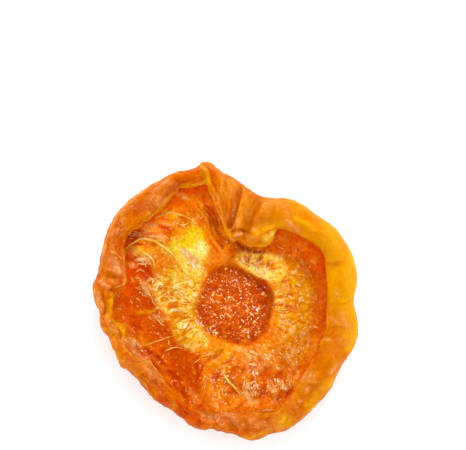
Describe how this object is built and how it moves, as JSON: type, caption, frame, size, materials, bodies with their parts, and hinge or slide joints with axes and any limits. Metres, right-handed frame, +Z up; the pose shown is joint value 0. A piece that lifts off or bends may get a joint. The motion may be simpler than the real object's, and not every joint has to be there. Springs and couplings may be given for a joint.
{
  "type": "dried apricot half",
  "caption": "Dried apricot half lying cut face up: a shallow cup of flesh with the dent of the stone, inside a curled rim of skin with a folded-in flap.",
  "frame": {"origin": "under the middle of the half's outline, on the surface that it lies on", "axes": "+Z up, the way the cut face looks; +Y towards the stem end, where the flap of skin folds in; +X to the right of that"},
  "size_m": [0.044, 0.0463, 0.012],
  "materials": {
    "dried_apricot": "orange skin and flesh of dried fruit: satin, finely grained skin on the rim and underside, moist glossy flesh inside",
    "fruit_fibre": "pale yellow threads of vein and stone fibre left on the flesh"
  },
  "bodies": {
    "root": {"apricot_half": "dried_apricot"}
  },
  "joints": []
}
